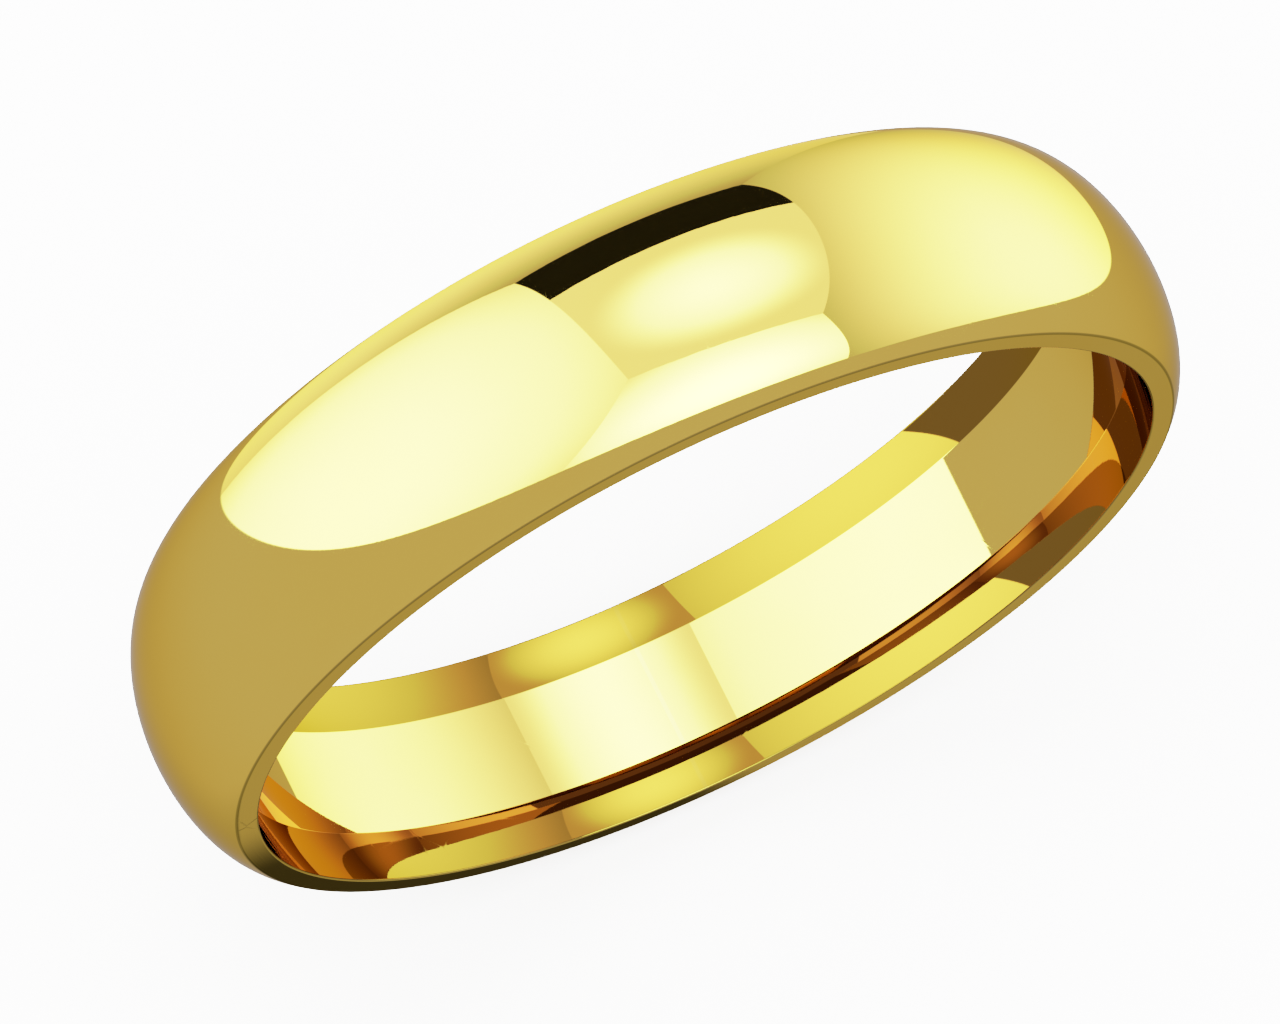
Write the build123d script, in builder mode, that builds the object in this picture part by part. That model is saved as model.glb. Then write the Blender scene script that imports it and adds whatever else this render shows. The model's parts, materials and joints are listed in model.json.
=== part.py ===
from build123d import *
import math
import os

# Domed wedding band, standing upright like a wheel. The finger hole runs along Y, the origin is
# the centre of the hole, and +Z is up. All lengths are in millimetres.
# The wire is D-shaped in section: a domed outside, two narrow flat sides, and an inside with a
# cylindrical land in the middle and a shallow hollow, the cove, on each side of it up to the rim.

# Driving dimensions
FINGER_DIAMETER = 20.6          # across the land, the part that touches the finger
BAND_WIDTH = 5.0                # from side face to side face, along Y
WALL_AT_CROWN = 1.38            # from the land to the top of the dome
LAND_WIDTH = 2.6                # the cylindrical middle of the finger hole
RIM_SETBACK = 0.005             # how far the rims stand back from the land
COVE_DEPTH = 0.037              # depth of each cove below the line from the land to the rim
SIDE_FACE = 0.495               # width of each flat side, from the rim to the dome
DOME_HALF_SPAN = 2.69           # half-axis of the dome's ellipse along Y, a little over half the width
EDGE_ROUND = 0.04               # polished break on the four long edges
SEAM_THICKNESS = 0.1            # the solder line where the bent wire was closed

# Worked out from the driving dimensions
LAND_RADIUS = FINGER_DIAMETER / 2
RIM_RADIUS = LAND_RADIUS + RIM_SETBACK
SHOULDER_RADIUS = RIM_RADIUS + SIDE_FACE
CROWN_RADIUS = LAND_RADIUS + WALL_AT_CROWN
HALF_WIDTH = BAND_WIDTH / 2
HALF_LAND = LAND_WIDTH / 2

SAME_PLACE = 1e-6               # two coordinates closer than this count as equal
SLICE_MARGIN = 1.0              # how far the slice for the seam reaches past the wire

# The dome is the part of an ellipse between the two shoulders. At the shoulder the ellipse has
# turned by this angle from its crown, which sets the half-axis of the ellipse along the radius.
shoulder_turn = math.degrees(math.asin(HALF_WIDTH / DOME_HALF_SPAN))
dome_rise = (CROWN_RADIUS - SHOULDER_RADIUS) / (1 - math.cos(math.radians(shoulder_turn)))
dome_centre = CROWN_RADIUS - dome_rise

# Each cove is an arc, deepest halfway between the land and the rim.
cove_middle_radius = (LAND_RADIUS + RIM_RADIUS) / 2 + COVE_DEPTH
cove_middle_offset = (HALF_LAND + HALF_WIDTH) / 2

# Section of the wire: X is the radius from the axis of the finger hole, and Y is along that axis.
with BuildSketch(Plane.XY) as wire_section:
    with BuildLine():
        Line((LAND_RADIUS, -HALF_LAND), (LAND_RADIUS, HALF_LAND))
        ThreePointArc(
            (LAND_RADIUS, HALF_LAND),
            (cove_middle_radius, cove_middle_offset),
            (RIM_RADIUS, HALF_WIDTH),
        )
        Line((RIM_RADIUS, HALF_WIDTH), (SHOULDER_RADIUS, HALF_WIDTH))
        EllipticalCenterArc(
            center=(dome_centre, 0),
            x_radius=dome_rise,
            y_radius=DOME_HALF_SPAN,
            start_angle=-shoulder_turn,
            arc_size=2 * shoulder_turn,
        )
        Line((SHOULDER_RADIUS, -HALF_WIDTH), (RIM_RADIUS, -HALF_WIDTH))
        ThreePointArc(
            (RIM_RADIUS, -HALF_WIDTH),
            (cove_middle_radius, -cove_middle_offset),
            (LAND_RADIUS, -HALF_LAND),
        )
    make_face()
    long_edges = wire_section.vertices().filter_by(
        lambda corner: abs(abs(corner.Y) - HALF_WIDTH) < SAME_PLACE
    )
    fillet(long_edges, EDGE_ROUND)

# The slice that the saw and the solder take up, at the lowest point of the ring. It reaches from
# the middle of the finger hole to just past the dome, so it cuts the wire once only.
slice_height = CROWN_RADIUS + SLICE_MARGIN
slice_width = BAND_WIDTH + SLICE_MARGIN
slice_centre = (0, 0, -slice_height / 2)

# The band: one length of D-section wire bent round into a ring, still open by the seam.
with BuildPart() as band:
    add(wire_section.sketch)
    revolve(axis=Axis.Y)
    with Locations(slice_centre):
        Box(SEAM_THICKNESS, slice_width, slice_height, mode=Mode.SUBTRACT)
band.part.label = "band"

# The seam: the thin plate of hard solder that joins the two ends, dressed flush all round.
with BuildPart() as solder_seam:
    add(wire_section.sketch)
    revolve(axis=Axis.Y)
    with Locations(slice_centre):
        Box(SEAM_THICKNESS, slice_width, slice_height, mode=Mode.INTERSECT)
solder_seam.part.label = "solder_seam"

os.makedirs("parts", exist_ok=True)
export_step(band.part, "parts/band.step")
export_step(solder_seam.part, "parts/solder_seam.step")
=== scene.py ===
import json
import math

import bpy
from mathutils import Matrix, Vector


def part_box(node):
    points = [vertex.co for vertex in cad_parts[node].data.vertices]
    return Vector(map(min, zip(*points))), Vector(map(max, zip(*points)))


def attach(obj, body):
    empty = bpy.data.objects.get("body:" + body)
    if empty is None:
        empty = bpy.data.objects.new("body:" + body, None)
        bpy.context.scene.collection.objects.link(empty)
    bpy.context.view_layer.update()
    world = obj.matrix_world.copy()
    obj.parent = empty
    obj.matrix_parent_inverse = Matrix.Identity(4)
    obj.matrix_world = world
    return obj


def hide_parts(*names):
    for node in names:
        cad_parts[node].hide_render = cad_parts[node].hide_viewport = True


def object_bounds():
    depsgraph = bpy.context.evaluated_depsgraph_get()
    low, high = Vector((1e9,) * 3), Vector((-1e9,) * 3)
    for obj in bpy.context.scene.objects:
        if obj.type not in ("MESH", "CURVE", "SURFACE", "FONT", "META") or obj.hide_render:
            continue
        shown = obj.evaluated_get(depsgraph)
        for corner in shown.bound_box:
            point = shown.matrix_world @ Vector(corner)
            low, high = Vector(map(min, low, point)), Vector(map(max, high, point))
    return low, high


# A polished domed wedding band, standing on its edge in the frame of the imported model.
# The finger hole runs along Y, the origin is the centre of the hole, +Z is up, lengths in metres.

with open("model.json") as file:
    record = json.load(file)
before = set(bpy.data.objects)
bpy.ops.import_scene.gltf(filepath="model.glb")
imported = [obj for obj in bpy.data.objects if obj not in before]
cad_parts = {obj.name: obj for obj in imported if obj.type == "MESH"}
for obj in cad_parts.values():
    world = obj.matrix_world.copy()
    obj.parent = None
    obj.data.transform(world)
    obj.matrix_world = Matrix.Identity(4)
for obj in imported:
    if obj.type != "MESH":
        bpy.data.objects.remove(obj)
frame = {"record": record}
cad_low, cad_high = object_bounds()
record = frame["record"]
MM = 0.001

# ---------------------------------------------------------------------------------------------
# Sizes of the wire's section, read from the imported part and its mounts
# ---------------------------------------------------------------------------------------------
mounts = {mount["name"]: mount for mount in record["mounts"]}
_, band_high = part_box("band")
_, seam_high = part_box("solder_seam")

crown_radius = band_high.x
half_width = band_high.y
land_radius = mounts["finger_bore"]["dims"]["r_mm"] * MM
half_land = mounts["finger_bore"]["dims"]["length_mm"] * MM / 2
side_face_middle = mounts["side_face_front"]["pos_m"][2]
seam_half = seam_high.x

SIDE_FACE = 0.495 * MM          # width of each flat side
DOME_HALF_SPAN = 2.69 * MM      # half-axis of the dome's ellipse along Y
COVE_DEPTH = 0.037 * MM         # depth of the shallow hollow between the land and each rim
EDGE_ROUND = 0.04 * MM          # polished break on the four long edges
LAND_EDGE_ROUND = 0.16 * MM     # polished break between the land and each cove
CLEAR_OF_BREAK = 1.1            # the cove's first point is this many break lengths from the kink

rim_radius = side_face_middle - SIDE_FACE / 2
shoulder_radius = side_face_middle + SIDE_FACE / 2

TURNS = 640                     # steps round the ring
SEAM_TURNS = 2                  # steps across the seam's slice
HALVINGS = 60                   # of the interval in which the dome's end is found
LAND_STEPS = 4                  # steps along each part of the half section
LAND_EDGE_STEPS = 4
COVE_STEPS = 14
RIM_STEPS = 7
SIDE_STEPS = 4
SHOULDER_STEPS = 6
DOME_STEPS = 30


def unit(x, y):
    size = math.hypot(x, y)
    return (x / size, y / size)


# ---------------------------------------------------------------------------------------------
# The section, as (radius, y, normal along the radius, normal along y), for y >= 0 from the middle
# of the land round to the crown. The other half is its mirror image.
# ---------------------------------------------------------------------------------------------
def cove_arc():
    """Centre and radius of the arc of the cove, whose centre is on the finger's side of it."""
    a = (land_radius, half_land)
    c = (rim_radius, half_width)
    b = ((land_radius + rim_radius) / 2 + COVE_DEPTH, (half_land + half_width) / 2)
    d = 2 * (a[0] * (b[1] - c[1]) + b[0] * (c[1] - a[1]) + c[0] * (a[1] - b[1]))
    a2, b2, c2 = (p[0] ** 2 + p[1] ** 2 for p in (a, b, c))
    centre = (
        (a2 * (b[1] - c[1]) + b2 * (c[1] - a[1]) + c2 * (a[1] - b[1])) / d,
        (a2 * (c[0] - b[0]) + b2 * (a[0] - c[0]) + c2 * (b[0] - a[0])) / d,
    )
    return centre, math.dist(centre, a)


def dome_point(turn):
    shoulder_turn = math.asin(half_width / DOME_HALF_SPAN)
    rise = (crown_radius - shoulder_radius) / (1 - math.cos(shoulder_turn))
    outward = unit(math.cos(turn) / rise, math.sin(turn) / DOME_HALF_SPAN)
    return (crown_radius - rise + rise * math.cos(turn), DOME_HALF_SPAN * math.sin(turn), *outward)


def dome_end():
    """Where the dome meets the break at the shoulder, found by halving the interval."""
    low, high = 0.0, math.asin(half_width / DOME_HALF_SPAN)
    for _ in range(HALVINGS):
        middle = (low + high) / 2
        _, y, _, across = dome_point(middle)
        if y - EDGE_ROUND * across < half_width - EDGE_ROUND:
            low = middle
        else:
            high = middle
    return low


def break_arc(centre, radius, first, last, steps):
    """A rounded edge. A turn of 0 faces the finger, a quarter turn faces along +Y."""
    made = []
    for i in range(steps + 1):
        turn = first + (last - first) * i / steps
        inward, along = -math.cos(turn), math.sin(turn)
        made.append((centre[0] + radius * inward, centre[1] + radius * along, inward, along))
    return made


def half_section():
    # The land, and the polished break where it turns into the cove
    (cove_r, cove_y), cove_radius = cove_arc()
    cove_start = math.asin((half_land - cove_y) / cove_radius)
    reach = LAND_EDGE_ROUND * math.tan(-cove_start / 2)
    points = [(land_radius, (half_land - reach) * i / LAND_STEPS, -1.0, 0.0) for i in range(LAND_STEPS)]
    ridge = (land_radius + LAND_EDGE_ROUND, half_land - reach)
    points += break_arc(ridge, LAND_EDGE_ROUND, 0.0, -cove_start, LAND_EDGE_STEPS)

    # The cove, up to the break at the rim
    rim_y = half_width - EDGE_ROUND
    cove_end = math.asin((rim_y - cove_y) / (cove_radius + EDGE_ROUND))
    rim_r = cove_r + (cove_radius + EDGE_ROUND) * math.cos(cove_end)
    begin = cove_start + CLEAR_OF_BREAK * reach / cove_radius
    for i in range(COVE_STEPS + 1):
        angle = begin + (cove_end - begin) * i / COVE_STEPS
        c, d = math.cos(angle), math.sin(angle)
        points.append((cove_r + cove_radius * c, cove_y + cove_radius * d, -c, -d))

    # The break at the rim, the flat side and the break at the shoulder
    points += break_arc((rim_r, rim_y), EDGE_ROUND, -cove_end, math.pi / 2, RIM_STEPS)[1:]
    end = dome_end()
    edge = dome_point(end)
    shoulder = (edge[0] - EDGE_ROUND * edge[2], edge[1] - EDGE_ROUND * edge[3])
    for i in range(1, SIDE_STEPS):
        points.append((rim_r + (shoulder[0] - rim_r) * i / SIDE_STEPS, half_width, 0.0, 1.0))
    dome_turn = math.pi - math.atan2(edge[3], edge[2])
    points += break_arc(shoulder, EDGE_ROUND, math.pi / 2, dome_turn, SHOULDER_STEPS)

    # The dome, up to the crown
    points += [dome_point(end * (1 - i / DOME_STEPS)) for i in range(1, DOME_STEPS + 1)]
    return points


half = half_section()
mirrored = [(r, -y, nr, -ny) for r, y, nr, ny in half[1:-1]]
section = half + mirrored[::-1]


# ---------------------------------------------------------------------------------------------
# Meshes: the section is swept round the finger hole, with a flat end on each side of the seam
# ---------------------------------------------------------------------------------------------
def sweep(name, steps, seam_side):
    """The section swept round Y. seam_side is +1 for the long way round, -1 for the seam's slice.
    The angle starts at -Z, and each point's end angle puts it on the flat plane x = seam_half."""
    count = len(section)
    verts, normals, faces = [], [], []
    for step in range(steps + 1):
        share = step / steps
        for r, y, nr, ny in section:
            end = math.asin(seam_half / r)
            if seam_side > 0:
                angle = end + (2 * math.pi - 2 * end) * share
            else:
                angle = -end + 2 * end * share
            s, c = math.sin(angle), -math.cos(angle)
            verts.append((r * s, y, r * c))
            normals.append((nr * s, ny, nr * c))
    for step in range(steps):
        for i in range(count):
            j = (i + 1) % count
            a, b = step * count, (step + 1) * count
            faces.append((a + i, b + i, b + j, a + j))
    first_end = tuple(range(count))
    last_end = tuple(steps * count + i for i in range(count))[::-1]
    faces += [first_end, last_end]

    mesh = bpy.data.meshes.new(name)
    mesh.from_pydata(verts, [], faces)
    mesh.update()
    ends = {len(faces) - 2, len(faces) - 1}
    flat_edges = set()
    for index in ends:
        polygon = mesh.polygons[index]
        flat_edges |= {tuple(sorted(key)) for key in polygon.edge_keys}
    for edge in mesh.edges:
        edge.use_edge_sharp = tuple(sorted(edge.vertices)) in flat_edges
    corner_normals = []
    for polygon in mesh.polygons:
        polygon.use_smooth = polygon.index not in ends
        for loop in polygon.loop_indices:
            vertex = mesh.loops[loop].vertex_index
            corner_normals.append(polygon.normal[:] if polygon.index in ends else normals[vertex])
    mesh.normals_split_custom_set(corner_normals)
    piece = bpy.data.objects.new(name, mesh)
    bpy.context.scene.collection.objects.link(piece)
    return piece


# ---------------------------------------------------------------------------------------------
# Materials
# ---------------------------------------------------------------------------------------------
class Nodes:
    """A few short words for building a node tree."""

    def __init__(self, tree):
        self.tree = tree
        tree.nodes.clear()

    def add(self, kind, **settings):
        node = self.tree.nodes.new(kind)
        for name, value in settings.items():
            setattr(node, name, value)
        return node

    def put(self, socket, value):
        if isinstance(value, bpy.types.NodeSocket):
            self.tree.links.new(value, socket)
        else:
            socket.default_value = value

    def math(self, operation, a, b=0.0, c=0.0):
        node = self.add("ShaderNodeMath", operation=operation)
        for socket, value in zip(node.inputs, (a, b, c)):
            self.put(socket, value)
        return node.outputs[0]

    def dot(self, vector, constant):
        node = self.add("ShaderNodeVectorMath", operation="DOT_PRODUCT")
        self.put(node.inputs[0], vector)
        node.inputs[1].default_value = constant
        return node.outputs["Value"]

    def step(self, value, low, high, out_low=0.0, out_high=1.0):
        node = self.add("ShaderNodeMapRange", interpolation_type="SMOOTHSTEP")
        for socket, given in zip(node.inputs, (value, low, high, out_low, out_high)):
            self.put(socket, given)
        return node.outputs[0]

    def mix(self, share, a, b):
        node = self.add("ShaderNodeMix", data_type="RGBA")
        self.put(node.inputs["Factor"], share)
        self.put(node.inputs["A"], a)
        self.put(node.inputs["B"], b)
        return node.outputs["Result"]

    def noise(self, vector, scale, detail=2.0, roughness=0.5):
        node = self.add("ShaderNodeTexNoise")
        self.put(node.inputs["Vector"], vector)
        node.inputs["Scale"].default_value = scale
        node.inputs["Detail"].default_value = detail
        node.inputs["Roughness"].default_value = roughness
        return node.outputs["Fac"]

    def tinted(self, colour, tint):
        node = self.add("ShaderNodeMix", data_type="RGBA", blend_type="MULTIPLY")
        node.inputs["Factor"].default_value = 1.0
        self.put(node.inputs["A"], colour)
        self.put(node.inputs["B"], rgba(*tint))
        return node.outputs["Result"]

    def combine(self, x, y, z):
        node = self.add("ShaderNodeCombineXYZ")
        for socket, value in zip(node.inputs, (x, y, z)):
            self.put(socket, value)
        return node.outputs[0]

    def bump(self, height, distance, strength, normal=None):
        node = self.add("ShaderNodeBump")
        self.put(node.inputs["Height"], height)
        node.inputs["Distance"].default_value = distance
        node.inputs["Strength"].default_value = strength
        if normal is not None:
            self.put(node.inputs["Normal"], normal)
        return node.outputs[0]


def rgba(red, green, blue):
    return (red, green, blue, 1.0)


GOLD = (1.0, 0.683, 0.137)
SOLDER = (0.98, 0.69, 0.165)        # hard gold solder is a shade paler than the band
GRAZING_TINT = (0.81, 0.68, 0.43)   # keeps the gold yellow where it is seen at a low angle
COVE_PAINTED_SHADE = (0.32, 0.235, 0.165)   # painted shade: the coves' colour over the gold's, tuned to the photograph

# The coves' painted shade begins and is full this far past the land's edge, past the rim's radius, and
# short of the side face
COVE_FROM_LAND = (-0.004 * MM, 0.016 * MM)
COVE_DEEPEST = (0.06 * MM, 0.045 * MM)
COVE_TO_RIM = (0.012 * MM, 0.03 * MM)

HAIRLINE_WIDTH = 0.035 * MM         # polishing lines, which run round the ring
HAIRLINE_TURNS = 5.0                # how often a line changes, for each radian round the ring
HAIRLINE_DEPTH = 0.00006 * MM
HAIRLINE_DULL = (0.4, 0.7)          # the noise levels that dullness begins at and is full at
CLOUD_SIZE = 2.5 * MM               # soft patches of brighter and duller polish
CLOUD_DULL = (0.35, 0.75)           # the same for the clouds
CLOUD_WORN = (0.42, 0.62)           # the same for the worn stretches of the long edges
MOTTLE_SCALE = 260.0                # faint warm patches in the colour, to the metre
MOTTLE_TINT = (1.0, 0.985, 0.94)
MOTTLE_LEVELS = (0.35, 0.65)
SCUFF_SIZE = 1.6 * MM               # tiny scuffs from handling
SCUFF_DEPTH = 0.00012 * MM
SCUFF_WIDTH = 0.02                  # as a share of the scuffs' size
SCUFF_AMOUNT = (0.60, 0.68)         # the noise levels that scuffs begin at and are full at
EDGE_BAND = 0.09 * MM               # how far the wear reaches from each long edge
EDGE_SHADE_WIDTH = 0.045 * MM              # width of the thin dark line of painted shade along each long edge
# how dark the painted shade along the long edges makes the gold, and how much of it is laid on
EDGE_SHADE_LEVEL = 0.4
EDGE_SHADE_AMOUNT = 0.9
ROUGHNESS_MIRROR = 0.012
ROUGHNESS_DULL = 0.034
ROUGHNESS_WORN_EDGE = 0.11
WORN_EDGE_SHARE, SCUFF_SHARE = 0.7, 0.5         # how much of that wear an edge and a scuff get


def gold(name, tint):
    material = bpy.data.materials.new(name)
    material.use_nodes = True
    n = Nodes(material.node_tree)
    place = n.add("ShaderNodeTexCoord").outputs["Object"]
    split = n.add("ShaderNodeSeparateXYZ")
    n.put(split.inputs[0], place)
    x, y, z = split.outputs
    radius = n.math("SQRT", n.math("ADD", n.math("MULTIPLY", x, x), n.math("MULTIPLY", z, z)))
    turn = n.math("ARCTAN2", x, z)
    across = n.math("ABSOLUTE", y)

    # Where the coves' painted shade goes: outside the land, and nearer the finger than the side faces
    past_land = n.step(across, half_land + COVE_FROM_LAND[0], half_land + COVE_FROM_LAND[1])
    inside = n.step(radius, rim_radius + COVE_DEEPEST[0], rim_radius + COVE_DEEPEST[1])
    before_rim = n.step(across, half_width - COVE_TO_RIM[0], half_width - COVE_TO_RIM[1])
    cove = n.math("MULTIPLY", n.math("MULTIPLY", past_land, inside), before_rim)

    # Polishing lines round the ring, soft clouds in the polish, scuffs, worn edges and the painted edge
    # shade
    lines_at = n.combine(
        n.math("MULTIPLY", turn, HAIRLINE_TURNS),
        n.math("MULTIPLY", y, 1 / HAIRLINE_WIDTH),
        n.math("MULTIPLY", radius, 1 / HAIRLINE_WIDTH),
    )
    lines = n.noise(lines_at, 1.0, 2.0, 0.6)
    clouds = n.noise(place, 1 / CLOUD_SIZE, 3.0)
    cells = n.add("ShaderNodeTexVoronoi", feature="DISTANCE_TO_EDGE")
    n.put(cells.inputs["Vector"], place)
    cells.inputs["Scale"].default_value = 1 / SCUFF_SIZE
    scuff_line = n.step(cells.outputs["Distance"], SCUFF_WIDTH, 0.0)
    scuff_here = n.step(n.noise(place, 0.7 / SCUFF_SIZE, 2.0), *SCUFF_AMOUNT)
    scuff = n.math("MULTIPLY", scuff_line, scuff_here)
    short_of_side = n.math("SUBTRACT", across, half_width)
    side_squared = n.math("MULTIPLY", short_of_side, short_of_side)
    from_edges = []
    for edge_radius in (rim_radius, shoulder_radius):
        off = n.math("SUBTRACT", radius, edge_radius)
        from_edges.append(n.math("SQRT", n.math("MULTIPLY_ADD", off, off, side_squared)))
    from_edge = n.math("MINIMUM", *from_edges)
    worn = n.math("MULTIPLY", n.step(from_edge, EDGE_BAND, 0.0), n.step(clouds, *CLOUD_WORN))
    # painted shade: a thin dark line along each long edge, standing in for the dark that the creases
    # reflect
    edge_shade = n.step(from_edge, EDGE_SHADE_WIDTH, EDGE_SHADE_WIDTH / 3, 0.0, EDGE_SHADE_AMOUNT)

    # Colour: the gold with a faint warm mottle, painted shade in the coves and along the long edges
    warm = rgba(*(t * w for t, w in zip(tint, MOTTLE_TINT)))
    mottle = n.step(n.noise(place, MOTTLE_SCALE, 3.0), *MOTTLE_LEVELS)
    colour = n.mix(mottle, rgba(*tint), warm)
    # painted shade: the hollow coves are darkened to stand in for their dim reflections
    cove_painted_shade = rgba(*(t * share for t, share in zip(tint, COVE_PAINTED_SHADE)))
    colour = n.mix(cove, colour, cove_painted_shade)
    # painted shade laid along the long edges
    colour = n.mix(edge_shade, colour, n.tinted(colour, (EDGE_SHADE_LEVEL,) * 3))

    # Roughness: near a mirror, duller in the clouds, along the lines and on worn edges
    along_lines = n.step(lines, *HAIRLINE_DULL, 0.4, 1.0)
    dull = n.math("MULTIPLY", n.step(clouds, *CLOUD_DULL), along_lines)
    rough = n.math("MULTIPLY_ADD", dull, ROUGHNESS_DULL - ROUGHNESS_MIRROR, ROUGHNESS_MIRROR)
    on_edges = n.math("MULTIPLY", worn, WORN_EDGE_SHARE)
    wear = n.math("MAXIMUM", on_edges, n.math("MULTIPLY", scuff, SCUFF_SHARE))
    rough = n.math("MULTIPLY_ADD", wear, ROUGHNESS_WORN_EDGE, rough)

    shader = n.add("ShaderNodeBsdfPrincipled")
    shader.inputs["Metallic"].default_value = 1.0
    shader.inputs["Specular Tint"].default_value = rgba(*GRAZING_TINT)
    n.put(shader.inputs["Base Color"], colour)
    n.put(shader.inputs["Roughness"], rough)
    hairlines = n.bump(lines, HAIRLINE_DEPTH, 1.0)
    scuffed = n.bump(n.math("MULTIPLY", scuff, -1.0), SCUFF_DEPTH, 1.0, hairlines)
    n.put(shader.inputs["Normal"], scuffed)
    out = n.add("ShaderNodeOutputMaterial")
    n.put(out.inputs["Surface"], shader.outputs[0])
    return material


band_gold = gold("polished_yellow_gold", GOLD)
seam_gold = gold("polished_gold_solder", SOLDER)

band = sweep("band_body", TURNS, 1)
band.data.materials.append(band_gold)
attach(band, "root")
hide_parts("band")

seam = sweep("seam_plate", SEAM_TURNS, -1)
seam.data.materials.append(seam_gold)
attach(seam, "root")
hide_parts("solder_seam")

# ---------------------------------------------------------------------------------------------
# Camera, at the viewing angle of the photograph
# ---------------------------------------------------------------------------------------------
CAMERA_AZIMUTH = -25.39
CAMERA_ELEVATION = 67.67
CAMERA_DISTANCE = 93.77 * MM
CAMERA_LENS = 125.1
FRAME_RIGHT = -0.462 * MM       # how far the aim is right of the ring's centre, in the picture
FRAME_UP = 0.355 * MM


def direction(azimuth, elevation):
    a, e = math.radians(azimuth), math.radians(elevation)
    return Vector((math.sin(a) * math.cos(e), -math.cos(a) * math.cos(e), math.sin(e)))


back = direction(CAMERA_AZIMUTH, CAMERA_ELEVATION)
turn_to_view = (-back).to_track_quat("-Z", "Y")
centre = (cad_low + cad_high) / 2
aim = centre + turn_to_view @ Vector((FRAME_RIGHT, FRAME_UP, 0.0))

camera = bpy.data.objects.new("camera", bpy.data.cameras.new("camera"))
camera.data.lens = CAMERA_LENS
camera.data.sensor_width = 36.0
camera.data.clip_start = 0.001
camera.data.clip_end = 10.0
camera.rotation_mode = "QUATERNION"
camera.rotation_quaternion = turn_to_view
camera.location = aim + back * CAMERA_DISTANCE
bpy.context.scene.collection.objects.link(camera)
bpy.context.scene.camera = camera

# ---------------------------------------------------------------------------------------------
# Studio: a pale floor, white light all round, and for the polished metal to reflect, a room with
# four pale walls and a ceiling whose own upright is tipped against the floor's. The walls' levels,
# places and fades were fitted to the tones reflected in the photograph, then rounded.
# ---------------------------------------------------------------------------------------------
ROOM_UP = direction(154.5, 48.2)
toward = (back - back.dot(ROOM_UP) * ROOM_UP).normalized()
sideways = ROOM_UP.cross(toward)


def room_direction(azimuth, elevation):
    a, e = math.radians(azimuth), math.radians(elevation)
    level = math.cos(a) * toward + math.sin(a) * sideways
    return math.cos(e) * level + math.sin(e) * ROOM_UP


def grey(level):
    return rgba(level, level, level)


WALLS = (
    # azimuth it faces from, height over distance, brightest level, where that is, how fast it fades
    (-68, 2.35, 5.5, (-61, 11), 1.3),
    (25, 0.93, 8.2, (29, 16), 7.7),
    (124, 2.3, 3.7, (116, 13), 2.5),
    (-155, 1.632, 1.9, (-152, 5), 2.6),
)
SLOT_AZIMUTH, SLOT_STEEPNESS = -152, 6.31   # the dark slot between the last wall and the ceiling
CEILING, CEILING_LAMP = 1.49, 5.7
LAMP_PLACE, LAMP_HALF_ANGLE, LAMP_FADE = (30, 70), 25, 2.1
GROUND, GROUND_SHADED = 0.52, 0.42
SHADOW_PLACE, SHADOW_HALF_ANGLE = (172, -52), 12.6   # the dark place under the tipped ring has a
SHADOW_CORE, SHADOW_CORE_HALF_ANGLE = (155.5, -59), 9.0     # crisp edge here, and fades away from it
DARK, SLOT_LEVEL = 0.04, 0.01
SHADED_HALF_ANGLE, SHADED_SOFT = 30, 0.12   # the ground is a little darker round the dark place
CRISP_SOFT, CORE_SOFT = 0.0012, 0.0081      # how soft the dark place's edges are, as cosines
DIM_TINT = (1.05, 1.08, 1.12)       # the room's light where it is dim, and where it is bright
BRIGHT_TINT = (1.05, 1.42, 1.15)
DIM_LEVEL, BRIGHT_LEVEL = 1.2, 3.2
GROUND_TINT = (1.03, 1.05, 1.2)
SECOND_BOUNCE = (0.62, 0.46, 2.0)   # light that the ring has reflected twice, tuned to the photograph
SOFT = 0.004
WHITE_STRENGTH = 6.9
OVERHEAD = 1.9                      # how much more of the floor's light comes from straight above


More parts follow.
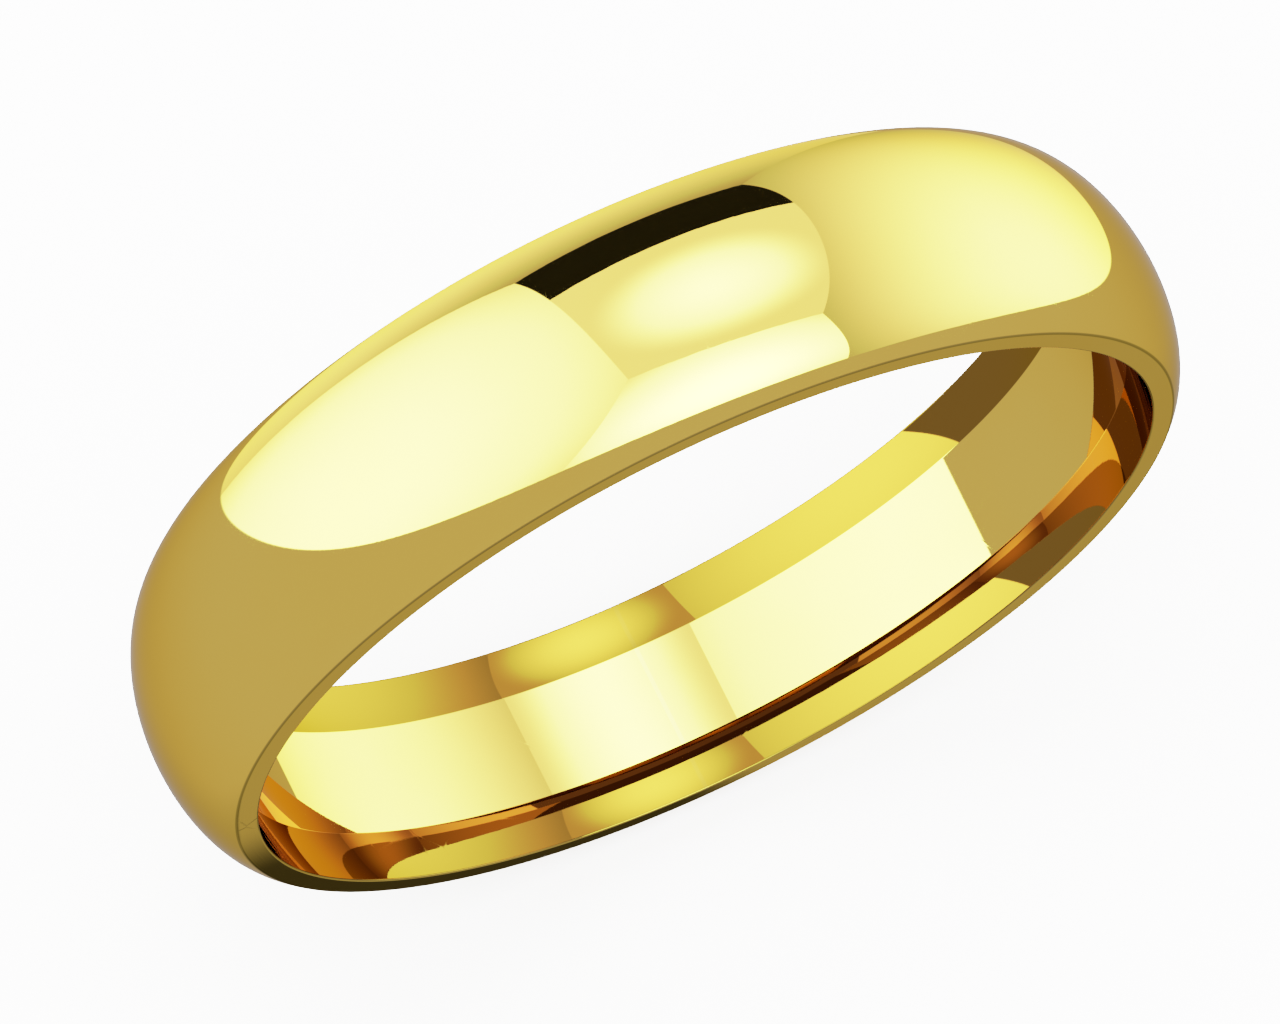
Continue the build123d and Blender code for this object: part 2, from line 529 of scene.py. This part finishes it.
def build_world():
    world = bpy.data.worlds.new("studio")
    world.use_nodes = True
    bpy.context.scene.world = world
    n = Nodes(world.node_tree)
    d = n.add("ShaderNodeTexCoord").outputs["Generated"]
    up = n.dot(d, ROOM_UP)

    def blend(share, a, b):
        return n.math("MULTIPLY_ADD", share, n.math("SUBTRACT", b, a), a)

    def edge(inside_amount):
        return n.step(inside_amount, -SOFT, SOFT)

    def within(place, half_angle, soft):
        """1 inside a cone round one direction of the room, 0 outside it."""
        limit = math.cos(math.radians(half_angle))
        return n.step(n.dot(d, room_direction(*place)), limit - soft, limit + soft)

    level, top = None, None
    for azimuth, steepness, peak, place, fade in WALLS:
        reach = n.dot(d, steepness * room_direction(azimuth, 0))
        facing = n.math("MAXIMUM", n.dot(d, room_direction(*place)), 0.0)
        shade = n.math("MULTIPLY", n.math("POWER", facing, fade), peak)
        if level is None:
            level, top = shade, reach
        else:
            level = blend(edge(n.math("SUBTRACT", reach, top)), level, shade)
            top = n.math("MAXIMUM", top, reach)

    lamp_edge = math.cos(math.radians(LAMP_HALF_ANGLE))
    near_lamp = n.step(n.dot(d, room_direction(*LAMP_PLACE)), lamp_edge, 1.0)
    near_lamp.node.interpolation_type = "LINEAR"
    lamp = n.math("POWER", near_lamp, LAMP_FADE)
    ceiling = n.math("MULTIPLY_ADD", lamp, CEILING_LAMP - CEILING, CEILING)
    slot_top = n.dot(d, SLOT_STEEPNESS * room_direction(SLOT_AZIMUTH, 0))
    ceiling = blend(edge(n.math("SUBTRACT", slot_top, up)), ceiling, SLOT_LEVEL)
    level = blend(edge(n.math("SUBTRACT", up, top)), level, ceiling)

    near_shadow = within(SHADOW_PLACE, SHADED_HALF_ANGLE, SHADED_SOFT)
    ground = n.math("MULTIPLY_ADD", near_shadow, GROUND_SHADED - GROUND, GROUND)
    crisp = within(SHADOW_PLACE, SHADOW_HALF_ANGLE, CRISP_SOFT)
    dark = n.math("MULTIPLY", crisp, within(SHADOW_CORE, SHADOW_CORE_HALF_ANGLE, CORE_SOFT))
    ground = blend(dark, ground, DARK)
    below = edge(n.math("MULTIPLY", up, -1.0))
    bright = n.step(level, DIM_LEVEL, BRIGHT_LEVEL)
    lit = n.mix(below, n.mix(bright, rgba(*DIM_TINT), rgba(*BRIGHT_TINT)), rgba(*GROUND_TINT))
    level = blend(below, level, ground)

    path = n.add("ShaderNodeLightPath")
    again = n.math("GREATER_THAN", path.outputs["Glossy Depth"], 1.5)
    lit = n.mix(again, lit, n.tinted(lit, SECOND_BOUNCE))

    room = n.add("ShaderNodeBackground")
    n.put(room.inputs["Color"], lit)
    n.put(room.inputs["Strength"], level)
    white = n.add("ShaderNodeBackground")
    white.inputs["Color"].default_value = grey(1.0)
    height = n.dot(d, (0.0, 0.0, 1.0))
    overhead = n.math("MULTIPLY_ADD", n.math("MULTIPLY", height, height), OVERHEAD, 1 - OVERHEAD / 2)
    soft_box = n.math("MULTIPLY", overhead, WHITE_STRENGTH)
    n.put(white.inputs["Strength"], blend(path.outputs["Is Diffuse Ray"], WHITE_STRENGTH, soft_box))
    pick = n.add("ShaderNodeMixShader")
    n.put(pick.inputs[0], path.outputs["Is Glossy Ray"])
    n.put(pick.inputs[1], white.outputs[0])
    n.put(pick.inputs[2], room.outputs[0])
    out = n.add("ShaderNodeOutputWorld")
    n.put(out.inputs["Surface"], pick.outputs[0])


build_world()

floor_mesh = bpy.data.meshes.new("floor")
FLOOR_HALF, FLOOR_GREY = 3.0, 0.8
floor_mesh.from_pydata(
    [(x, y, 0.0) for x, y in ((-1, -1), (1, -1), (1, 1), (-1, 1))], [], [(0, 1, 2, 3)]
)
floor = bpy.data.objects.new("floor", floor_mesh)
floor.scale = (FLOOR_HALF, FLOOR_HALF, 1.0)
floor.location = (0.0, 0.0, cad_low.z)
floor.visible_glossy = False
bpy.context.scene.collection.objects.link(floor)
paint = bpy.data.materials.new("pale_floor")
paint.use_nodes = True
paint.node_tree.nodes["Principled BSDF"].inputs["Base Color"].default_value = grey(FLOOR_GREY)
paint.node_tree.nodes["Principled BSDF"].inputs["Roughness"].default_value = 1.0
paint.node_tree.nodes["Principled BSDF"].inputs["Specular IOR Level"].default_value = 0.0
floor_mesh.materials.append(paint)

# ---------------------------------------------------------------------------------------------
# Picture: true colours up to the middle tones, and a soft shoulder for the highlights
# ---------------------------------------------------------------------------------------------
SHOULDER_WHITE = 6.0
SHOULDER = (
    (0.5, 0.5), (0.78, 0.625), (1.13, 0.745), (1.63, 0.84), (2.3, 0.9), (3.2, 0.935), (4.4, 0.957),
    (SHOULDER_WHITE, 0.985),
)
settings = bpy.context.scene.view_settings
settings.view_transform = "Standard"
settings.look = "None"
settings.use_curve_mapping = True
mapping = settings.curve_mapping
mapping.white_level = (SHOULDER_WHITE,) * 3
curve = mapping.curves[3]
while len(curve.points) < len(SHOULDER) + 1:
    curve.points.new(0.5, 0.5)
for point, (scene_level, shown_level) in zip(curve.points, ((0.0, 0.0), *SHOULDER)):
    point.location = (scene_level / SHOULDER_WHITE, shown_level)
for point in list(curve.points)[:2]:
    point.handle_type = "VECTOR"
mapping.update()
